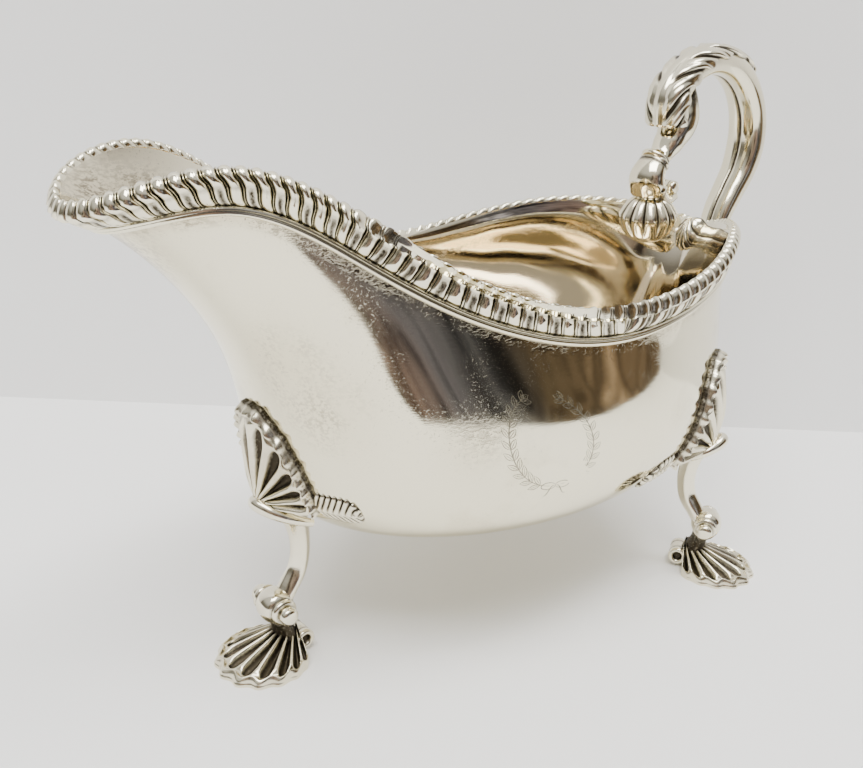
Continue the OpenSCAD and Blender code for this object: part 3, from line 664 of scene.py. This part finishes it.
def bud():
    """Petals that rise into ribs near the top and close up smooth at the bottom."""
    t = np.linspace(0, 1, 70)[:, None]
    line = on_curve(BUD_LINE, t[:, 0])
    a = np.linspace(0, 2 * np.pi, 224, endpoint=False)[None, :]
    rib = hump((a * BUD_FLUTES / (2 * np.pi)) % 1) ** 0.6
    deep = (1 - smooth(t, 0.35, 0.85)) * 0.92 + 0.08
    r = line[:, :1] * (1 - 0.15 * deep * (1 - rib)) * 1.02
    dark = deep * (1 - smooth(rib, 0.25, 0.75)) * smooth(t, 0, 0.05) + 0.5 * (1 - smooth(t, 0.0, 0.1))
    return np.stack([r * np.cos(a), -r * np.sin(a), line[:, 1:2] + 0 * r], -1), np.clip(dark, 0, 1)


shape, dark = bud()
mesh = Mesh()
mesh.skin(turned(shape, "Y", math.radians(-5)) + [47.8, 0, 85.8], dark)
mesh.build("fluted_bud", bud_silver, "bud_silver", ["handle_bud"])

ROOT_WIDE, ROOT_MIDDLE, ROOT_REACH = 4, 1.8, 7.2


def root_shell():
    r = np.linspace(0.04, 1, 40)[:, None]
    a = np.linspace(-1, 1, 121)[None, :]
    t = np.radians(95) * a
    rib = hump(((a + 1) * 3.5) % 1) ** 0.5
    edge = 1 - 0.08 * (1 - rib) * r
    h = ROOT_WIDE * r * edge * np.sin(t)
    down = ROOT_MIDDLE + ROOT_REACH * r * edge * np.cos(t) * np.where(np.cos(t) > 0, 1, 1.5)
    lift = 0.5 + 1.9 * np.sqrt(np.clip(1 - r**2, 0, 1)) + 0.6 * rib * hump(r) ** 0.7
    lift = lift * (1 - 0.6 * smooth(r, 0.9, 1))
    u = COLUMNS + h / 10.5
    dark = (1 - smooth(rib, 0.3, 0.8)) * smooth(r, 0.1, 0.3)
    return below_rim(u, down, -SHEET - lift), below_rim(u, down, -SHEET + 0.2), dark


top, low, dark = root_shell()
mesh = Mesh()
mesh.slab(top, low, dark)
mesh.build("handle_root_shell", leaf_silver, "leaf_silver", ["handle_root_leaf"])

# ---- Feet ----
FEET = {"front": 0, "rear_right": 1, "rear_left": 2}
SUNK = -0.15  # how far a piece on the bowl is sunk into it
PLACE = [((-60, 0), math.pi), ((41.9, -32.6), -math.pi / 3), ((41.9, 32.6), math.pi / 3)]
BODY_U = [10, 2.85]
KNEE_Z, KNEE_H, KNEE_W = [38.6, 36.5], [16.3, 19], [10.3, 13]


def on_body(foot, height, h, s, out):
    u0 = BODY_U[foot]
    vs = np.linspace(0.12, 0.96, 120)
    v0 = float(np.interp(height, outside(np.full(120, u0), vs)[:, 2], vs))
    scale = np.linalg.norm(outside(u0, v0 + 0.05) - outside(u0, v0 - 0.05))
    v = v0 + 0.1 * s / scale
    u = u0 + h / np.linalg.norm(outside(u0 + 0.5 + 0 * v, v) - outside(u0 - 0.5 + 0 * v, v), axis=-1)
    return outside(u, v) + np.asarray(out)[..., None] * outward(u, v)


def knee_shell(foot):
    rows, cols, ribs = 74, 221, 10
    r = np.concatenate([np.linspace(0.08, 0.8, 40), np.linspace(0.81, 1, rows - 40)])[:, None]
    q = np.linspace(0, ribs, cols)[None, :]
    a = np.radians(212 * q / ribs - 106)
    f = q % 1
    wide = 0.12 + 0.24 * np.clip((r - 0.1) / 0.6, 0, 1)
    wide = wide * np.sqrt(np.clip(1 - (np.clip(r - 0.66, 0, 1) / 0.15) ** 2, 0, 1))
    flute = (1 - smooth(np.abs(f - 0.5), 0.55 * wide, wide + 0.03)) * (wide > 0.02)
    rib = 0.5 + 0.5 * np.cos(2 * np.pi * f)
    beads = 0.5 + 0.5 * np.cos(4 * np.pi * f)
    margin = bell(r, 0.935, 0.038)
    scallop = 1 - 0.018 * (1 - beads) * smooth(r, 0.8, 1) - 0.02 * rib * smooth(r, 0.6, 1)
    reach = 1 / np.sqrt((np.cos(a) / KNEE_H[foot]) ** 2 + (np.sin(a) / KNEE_W[foot]) ** 2)
    crest = (2 * rib - 1) * smooth(r, 0.1, 0.4) * (1 - smooth(r, 0.8, 0.88))
    lift = 1.3 + 4.6 * (1 - r) ** 1.3 + 0.45 * crest - 0.75 * flute
    lift = lift + margin * (0.4 + 0.7 * beads) - 0.25 * bell(r, 0.86, 0.018)
    lift = lift * (1 - 0.55 * smooth(r, 0.965, 1))
    h, s = r * reach * scallop * np.sin(a), r * reach * scallop * np.cos(a)
    between_beads = margin * (1 - smooth(beads, 0.05, 0.45))
    dark = flute + 0.5 * bell(r, 0.865, 0.02) + 0.8 * between_beads + 0.8 * smooth(r, 0.975, 1)
    top, under = [on_body(foot, KNEE_Z[foot], h, s, out) for out in (lift, SUNK + 0 * lift)]
    return top, under, np.clip(dark, 0, 1)


SPRAYS = [(8.8, 9.5, 37.6), (12, 13, 34.9)]  # the front and rear sprays' start, length and height


def knee_spray(foot, side):
    """A leafy spray on a bare stem, from the knee along the bowl."""
    x = np.linspace(-1, 1, 33)[:, None]
    k = np.linspace(0, 1, 90)[None, :]
    start, length, height = SPRAYS[foot]
    stem = 0.30 if foot == 1 else 0.04
    leafy = smooth(k, stem, stem + 0.16)
    taper = np.clip(1 - np.clip((k - 0.72) / 0.28, 0, 1) ** 2, 0, 1) ** 0.6
    width = 0.75 + 0.1 * k + (2.1 + 0.6 * foot) * leafy * taper
    bulge = hump((k * 8.5 - np.abs(x) * 1.5) % 1) ** 0.6
    edge = 1 + 0.34 * smooth(np.abs(x), 0.4, 1) * (bulge - 0.5) * leafy
    midrib = bell(x, 0, 0.16)
    leaf = 0.35 + 0.7 * bulge * (1 - 0.45 * np.abs(x)) + 0.4 * midrib
    stalk = 0.35 + 0.75 * np.sqrt(np.clip(1 - x * x, 0, 1))
    lift = 0.8 * (leaf * leafy + stalk * (1 - leafy))
    lift = lift * (1 - 0.75 * smooth(np.abs(x), 0.85, 1)) * (1 - 0.8 * smooth(k, 0.95, 1))
    dark = (1 - smooth(bulge, 0.45, 0.9)) * (1 - 0.6 * midrib) + 0.5 * smooth(np.abs(x), 0.9, 1)
    h, s = side * (start + length * k) + 0 * x, x * width * edge
    top, under = [on_body(foot, height, h, s, out) for out in (lift, SUNK + 0 * lift)]
    return top, under, np.clip(dark * leafy, 0, 1)


COLLAR = [[3.4, 0, 36], [0.6, -2.4, 35.2], [0.6, 2.4, 35.2]]


def knee_collar(place):
    q = np.linspace(1, -1, 60)

    def bend(t):
        back, down = 8.6 * np.abs(t) ** 1.7, 4.4 * np.abs(t) ** 1.3
        return place + np.stack([-back, 5.8 * np.sin(np.pi / 2 * t), -down], -1)

    d = unit(bend(q - 0.02) - bend(q + 0.02))
    side = unit(np.cross(d, [0, 0, 1]))
    up = np.cross(side, d)
    radius = (1.6 - 0.8 * np.abs(q))[:, None, None]
    a = np.radians(np.arange(350, -1, -15))[None, :, None]
    return bend(q)[:, None] + radius * (np.sin(a) * side[:, None] + np.cos(a) * up[:, None])


LEG = [[-2.2, 4.6, 2.3, 3.4], [-1.1, 8, 1.9, 2.7], [-1.2, 11.6, 2, 2.4], [-3, 14.8, 2, 2.5],
       [-5.2, 18.2, 1.9, 2.3], [-6.1, 22, 1.9, 2.2], [-6, 26, 2, 2.4], [-5.2, 30, 2.4, 3], [-4, 34, 3, 4]]


def leg():
    v = np.linspace(0, 1, 110)[:, None]
    a = np.arange(0, 360, 7.5)[None, :]
    ridge = 0.22 * np.abs(np.cos(np.radians(a))) ** 3 * smooth(v, 0.35, 0.5)
    groove = 0.18 * np.abs(np.sin(np.radians(2 * a))) ** 2
    dark = 0.9 * (1 - smooth(v, 0.12, 0.26)) + 0.35 * bell(v, 0.93, 0.03)
    return round_line(LEG, v, a, ridge - groove), np.clip(dark, 0, 1)


BARREL = [[0.6, -4.2], [2.0, -4.2], [2.55, -4.05], [2.75, -3.75], [2.75, -3.25], [2.5, -3.0],
          [2.2, -2.85], [2.55, -2.65], [3.05, -2.3], [3.35, -1.8], [3.52, -1.1], [3.58, -0.4]]
BARREL = BARREL + [[r, -y] for r, y in BARREL[::-1]]
BARREL_OXIDE = [0.5, 0.5, 0, 0, 0, 0.6, 0.95, 0.5, 0, 0, 0, 0]
BARREL_OXIDE = BARREL_OXIDE + BARREL_OXIDE[::-1]
KNOB_OXIDE = [1, 0.8, 0.2, 0, 0, 0, 0, 0, 0]
KNOB = [[1.2, -0.1], [1.35, 0.1], [1.75, 0.3], [1.9, 0.6], [1.9, 1.45], [1.75, 1.8], [1.4, 2.08],
        [0.9, 2.22], [0.35, 2.28]]
KNUCKLE_Z, BARREL_END = 12, 4.2
FOOT_WIDE, FOOT_MID, HINGE = 9.8, 3.1, -4.5


def foot_shell():
    rows, cols, ribs = 70, 243, 11
    r = np.concatenate([np.linspace(0.12, 0.84, 36), np.linspace(0.85, 1, rows - 36)])[:, None]
    q = np.linspace(0, ribs, cols)[None, :]
    f = q % 1
    a = np.radians(168 * q / ribs - 84)
    back = FOOT_MID - HINGE
    reach = back * np.cos(a) + np.sqrt(FOOT_WIDE**2 - (back * np.sin(a)) ** 2)
    wave = np.cos(2 * np.pi * f)
    reach = reach * (0.997 - 0.045 * (0.5 + 0.5 * wave) * smooth(r, 0.55, 1))
    wide = 0.24 + 0.15 * np.clip((r - 0.12) / 0.5, 0, 1)
    wide = wide * np.sqrt(np.clip(1 - (np.clip(r - 0.74, 0, 1) / 0.14) ** 2, 0, 1))
    flute = (1 - smooth(np.abs(f - 0.5), 0.6 * wide, wide + 0.05)) * (wide > 0.02)
    lift = 1.1 + 6.0 * (1 - r) ** 1.15 + 0.5 * wave * (1 - smooth(r, 0.82, 0.9)) - 0.7 * flute
    lift = (lift + bell(r, 0.945, 0.035) * (0.75 + 0.25 * wave)) * (1 - 0.45 * smooth(r, 0.975, 1))
    x, y = HINGE + r * reach * np.cos(a), r * reach * np.sin(a)
    dark = flute + 0.8 * (1 - smooth(r, 0.22, 0.42)) + 0.2 * bell(r, 0.885, 0.02)
    return np.stack([x, y, lift], -1), np.stack([x, y, 0 * lift], -1), np.clip(dark, 0, 1)


VOLUTE = [[0.3, -2.1], [0.7, -2.1], [0.95, -2.3], [1.05, -2.8], [1.3, -3.1], [1.65, -3.2], [2.0, -3.05],
          [2.16, -2.75], [2.18, -2.1], [2.05, -1.6], [2.12, -1.0], [2.15, 0]]
VOLUTE = VOLUTE + [[r, -y] for r, y in VOLUTE[-2::-1]]
VOLUTE_OXIDE = [1, 1, 1, 0.7, 0.1, 0, 0, 0, 0, 0.7, 0.2, 0.1]
VOLUTE_OXIDE = VOLUTE_OXIDE + VOLUTE_OXIDE[-2::-1]

for name, foot in FEET.items():
    body_foot, flip = (foot, False) if foot < 2 else (1, True)
    at = PLACE[foot]
    mesh = Mesh()
    mesh.slab(*knee_shell(body_foot))
    mesh.build(f"knee_scallop_{name}", shell_silver, "shell_silver", [f"knee_shell_{name}"],
               mirror=flip, sharp=60)
    mesh = Mesh()
    for side in (-1, 1):
        mesh.slab(*knee_spray(body_foot, side))
    mesh.build(f"leaf_sprays_{name}", shell_silver, "shell_silver", [f"knee_sprays_{name}"],
               mirror=flip, sharp=60)
    mesh = Mesh()
    mesh.skin(knee_collar(COLLAR[foot]), 0.0)
    mesh.build(f"knee_roll_{name}", foot_silver, "foot_silver", [f"knee_collar_{name}"], place=at)
    mesh = Mesh()
    mesh.skin(*leg())
    mesh.build(f"scrolled_leg_{name}", foot_silver, "foot_silver", [f"leg_{name}"], place=at)
    mesh = Mesh()
    mesh.skin(turned(revolve(BARREL), "X", math.radians(90)) + [0, 0, KNUCKLE_Z], column(BARREL_OXIDE))
    mesh.build(f"knuckle_barrel_{name}", foot_silver, "foot_silver", [f"knuckle_{name}"], place=at)
    mesh = Mesh()
    for side in (-1, 1):
        knob = turned(revolve(KNOB), "X", math.radians(-90 * side))
        mesh.skin(knob + [0, side * BARREL_END, KNUCKLE_Z], column(KNOB_OXIDE))
    mesh.build(f"knuckle_knobs_{name}", foot_silver, "foot_silver", [f"knuckle_buttons_{name}"], place=at)
    mesh = Mesh()
    mesh.slab(*foot_shell())
    mesh.build(f"scallop_foot_{name}", shell_silver, "shell_silver", [f"foot_shell_{name}"],
               place=at, sharp=60)
    mesh = Mesh()
    mesh.skin(turned(revolve(VOLUTE), "X", math.radians(90)) + [-5.5, 0, 2.9], column(VOLUTE_OXIDE))
    mesh.build(f"foot_curl_{name}", foot_silver, "foot_silver", [f"foot_volute_{name}"], place=at)

# ---- Engraved wreath on the right side of the belly ----
WREATH_U, WREATH_Z = 6.1, 51.5


def on_belly(h, s, out):
    """Points h along the belly from the wreath's middle and s up from it."""
    vs = np.linspace(0.3, 0.9, 120)
    v0 = float(np.interp(WREATH_Z, outside(np.full(120, WREATH_U), vs)[:, 2], vs))
    v = v0 + 0.1 * s / np.linalg.norm(outside(WREATH_U, v0 + 0.05) - outside(WREATH_U, v0 - 0.05))
    u = WREATH_U - h / np.linalg.norm(outside(WREATH_U + 0.5, v0) - outside(WREATH_U - 0.5, v0))
    return outside(u, v) + np.asarray(out)[..., None] * outward(u, v)


def cut_line(mesh, points, width):
    """A line cut by the graver, swelling in the middle and fine at both ends."""
    points = np.asarray(points, float)
    along = unit(np.gradient(points, axis=0))
    across = np.stack([-along[:, 1], along[:, 0]], 1)
    half = width / 2 * (0.25 + 0.75 * np.sin(np.pi * np.linspace(0, 1, len(points))))[:, None]
    edges = np.stack([points - across * half, points, points + across * half], 1)
    top = on_belly(edges[..., 0], edges[..., 1], np.full(edges.shape[:2], 0.03))
    under = on_belly(edges[..., 0], edges[..., 1], np.full(edges.shape[:2], -0.05))
    mesh.slab(top, under, 0.62)


def leaf_cuts(mesh, at, way, size):
    """A pointed leaf from a point along a way: two bowed edges and a vein."""
    x = np.linspace(0, 1, 12)[:, None]
    aside = np.array([-way[1], way[0]])
    for bow in (-0.5, 0.5):
        cut_line(mesh, at + way * size * x + aside * bow * np.sin(np.pi * x), 0.17)
    cut_line(mesh, at + way * size * 0.8 * x, 0.12)


def branch(side, t):
    a = np.radians(-90 + side * (8 + 142 * np.asarray(t)))
    return np.stack([9.2 * np.cos(a), 9.8 * np.sin(a)], -1)


def wreath():
    """Two laurel branches tied with a bow."""
    mesh = Mesh()
    t = np.linspace(0, 1, 40)
    loop = np.linspace(0, 2 * np.pi, 30)
    for side in (-1, 1):
        cut_line(mesh, branch(side, t), 0.26)
        for j in np.linspace(0.1, 1.0, 11):
            at = branch(side, j)
            way = unit(branch(side, j + 0.01) - at)
            for lean in ((-1, 0, 1) if j > 0.99 else (-1, 1)):
                c, s = math.cos(math.radians(38 * lean)), math.sin(math.radians(38 * lean))
                leaf_way = np.array([way[0] * c - way[1] * s, way[0] * s + way[1] * c])
                leaf_cuts(mesh, at, leaf_way, 2.9 - 0.7 * j)
    for side in (-1, 1):
        cut_line(mesh, np.stack([side * (1.6 - 1.6 * np.cos(loop)), -9.7 + 0.9 * np.sin(loop)], -1), 0.22)
        end = np.stack([side * (0.2 + 2.4 * t), -9.8 - 2.6 * t + 0.5 * np.sin(2 * np.pi * t)], -1)
        cut_line(mesh, end, 0.24)
    return mesh


wreath().build("engraved_wreath", sheet_silver, "sheet_silver", [])


# ---- Stage ----
def placed(side, up, back, at):
    return Matrix([[*row, where] for row, where in zip(np.stack([side, up, back], 1), at)] + [[0, 0, 0, 1]])


def flat(name, colour, rough=0.9):
    material = bpy.data.materials.new(name)
    material.use_nodes = True
    shader = material.node_tree.nodes["Principled BSDF"]
    shader.inputs["Base Color"].default_value = (*colour, 1)
    shader.inputs["Roughness"].default_value = rough
    shader.inputs["Specular IOR Level"].default_value = 0.2
    return material


def stage_mesh(name, points, faces, material):
    mesh = bpy.data.meshes.new(name)
    mesh.from_pydata(points, [], faces)
    mesh.materials.append(material)
    piece = bpy.data.objects.new(name, mesh)
    bpy.context.scene.collection.objects.link(piece)
    return piece


paper = flat("paper", (0.91, 0.905, 0.89))
wall_paint = flat("wall_paint", (0.93, 0.928, 0.92))
# The table ends in front of the camera's view, and the dark room beyond it shows in the silver.
FLOOR_EDGE = [(-1.6, -0.2), (-0.16, -0.16), (-0.106, -0.158), (-0.095, -0.16), (-0.084, -0.18),
              (-0.055, -0.23), (-0.012, -0.297), (0.117, -0.368), (0.3, -0.4), (1.6, -0.5), (1.6, 1.6),
              (-1.6, 1.6)]
stage_mesh("floor", [(x, y, 0) for x, y in FLOOR_EDGE], [tuple(range(len(FLOOR_EDGE)))], paper)
WALL_AT, WALL_N = 0.096, (0.66, 0.751)
along = (-WALL_N[1], WALL_N[0])
corner = [(WALL_N[0] * WALL_AT + along[0] * t, WALL_N[1] * WALL_AT + along[1] * t) for t in (-1.2, 1.2)]
WALL_HEIGHT = 1.3
wall_points = [(*xy, z) for xy, z in zip((corner + corner[::-1]), (0, 0, WALL_HEIGHT, WALL_HEIGHT))]
stage_mesh("wall", wall_points, [(0, 3, 2, 1)], wall_paint)
# The wall is clear from behind, so that a camera behind it sees the boat.
tree = wall_paint.node_tree
clear = node(tree, "ShaderNodeBsdfTransparent")
behind = node(tree, "ShaderNodeNewGeometry").outputs["Backfacing"]
painted = tree.nodes["Principled BSDF"].outputs[0]
blend = node(tree, "ShaderNodeMixShader", {0: behind, 1: painted, 2: clear.outputs[0]})
tree.links.new(blend.outputs[0], tree.nodes["Material Output"].inputs[0])


def area_light(name, place, target, size, power, colour=(1, 1, 1)):
    data = bpy.data.lights.new(name, "AREA")
    data.shape = "RECTANGLE"
    data.size, data.size_y = size
    data.energy = power
    data.color = colour
    lamp = bpy.data.objects.new(name, data)
    back = unit(np.array(place, float) - np.array(target, float))
    side = unit(np.cross([0, 0, 1], back) if abs(back[2]) < 0.99 else np.array([1.0, 0, 0]))
    lamp.matrix_world = placed(side, np.cross(back, side), back, place)
    bpy.context.scene.collection.objects.link(lamp)


area_light("key_softbox", (-0.35, -0.25, 0.95), (0, 0, 0.05), (0.7, 0.5), 13)
area_light("ceiling_panel", (0.35, -0.1, 1.1), (0, 0, 0.05), (0.9, 0.35), 13)

world = bpy.data.worlds.new("studio")
bpy.context.scene.world = world
world.use_nodes = True
tree = world.node_tree
tree.nodes.clear()
way = node(tree, "ShaderNodeTexCoord").outputs["Generated"]
xyz = node(tree, "ShaderNodeSeparateXYZ", {0: way}).outputs
height = spread(tree, xyz[2], -1.0, 1.0)
sky = ramp(tree, height, [(0.0, (0.5, 0.5, 0.5)), (0.46, (0.42, 0.41, 0.38)), (0.52, (0.17, 0.16, 0.145)),
                          (0.62, (0.22, 0.21, 0.19)), (0.74, (0.70, 0.70, 0.68)), (1.0, (0.90, 0.90, 0.89))])
# The room in front is dark and full of things, up to well above the boat.
front = node(tree, "ShaderNodeVectorMath", {0: way}, operation="DOT_PRODUCT")
front.inputs[1].default_value = (0.12, -0.993, 0)
facing = spread(tree, front.outputs["Value"], 0.26, 0.36)
dim = both_of(tree, "MULTIPLY", facing, ramp(tree, height, [(0.72, (1,)), (0.80, (0,))]))
clutter = noise(tree, way, 3.2, 3.0, 0.6)
across = spread(tree, xyz[0], -0.9, 0.9)
tint = ramp(tree, across, [(0.10, (0.42, 0.34, 0.28)), (0.30, (0.36, 0.25, 0.22)),
                           (0.42, (0.17, 0.16, 0.19)), (0.58, (0.15, 0.15, 0.17)),
                           (0.70, (0.12, 0.09, 0.06)), (0.95, (0.20, 0.14, 0.09))])
shade = ramp(tree, clutter, [(0.38, (0.12,)), (0.47, (0.8,)), (0.52, (1.1,)), (0.56, (0.5,)), (0.62, (1.6,)),
                             (0.68, (4.0,))])
room = node(tree, "ShaderNodeMix", {MIX_A: tint, MIX_B: shade}, data_type="RGBA", blend_type="MULTIPLY")
room.inputs["Factor"].default_value = 1.0
mixed = node(tree, "ShaderNodeMix", {"Factor": dim, MIX_A: sky, MIX_B: room.outputs[2]}, data_type="RGBA")
seen = node(tree, "ShaderNodeBackground", {"Color": mixed.outputs[2]}, Strength=1.0)
pale = node(tree, "ShaderNodeBackground", Color=(0.80, 0.80, 0.795, 1), Strength=1.0)
camera_ray = node(tree, "ShaderNodeLightPath").outputs["Is Camera Ray"]
both = node(tree, "ShaderNodeMixShader", {0: camera_ray, 1: seen.outputs[0], 2: pale.outputs[0]})
tree.links.new(both.outputs[0], node(tree, "ShaderNodeOutputWorld").inputs[0])

# ---- Camera ----
LOOKS_AT, DISTANCE = (-16.58, 0.42, 51.03), 209.69
AZIMUTH, ELEVATION, ROLL = math.radians(-41.3), math.radians(20.61), math.radians(2.39)
flat_part = math.cos(ELEVATION)
back = np.array([math.sin(AZIMUTH) * flat_part, -math.cos(AZIMUTH) * flat_part, math.sin(ELEVATION)])
right = np.array([math.cos(AZIMUTH), math.sin(AZIMUTH), 0])
up = np.cross(back, right)
right, up = right * math.cos(ROLL) + up * math.sin(ROLL), up * math.cos(ROLL) - right * math.sin(ROLL)
lens = bpy.data.cameras.new("camera")
lens.lens = 40.83
lens.sensor_width = 36
lens.clip_start = 0.01
camera = bpy.data.objects.new("camera", lens)
camera.matrix_world = placed(right, up, back, (np.array(LOOKS_AT) + DISTANCE * back) * 0.001)
bpy.context.scene.collection.objects.link(camera)
bpy.context.scene.camera = camera
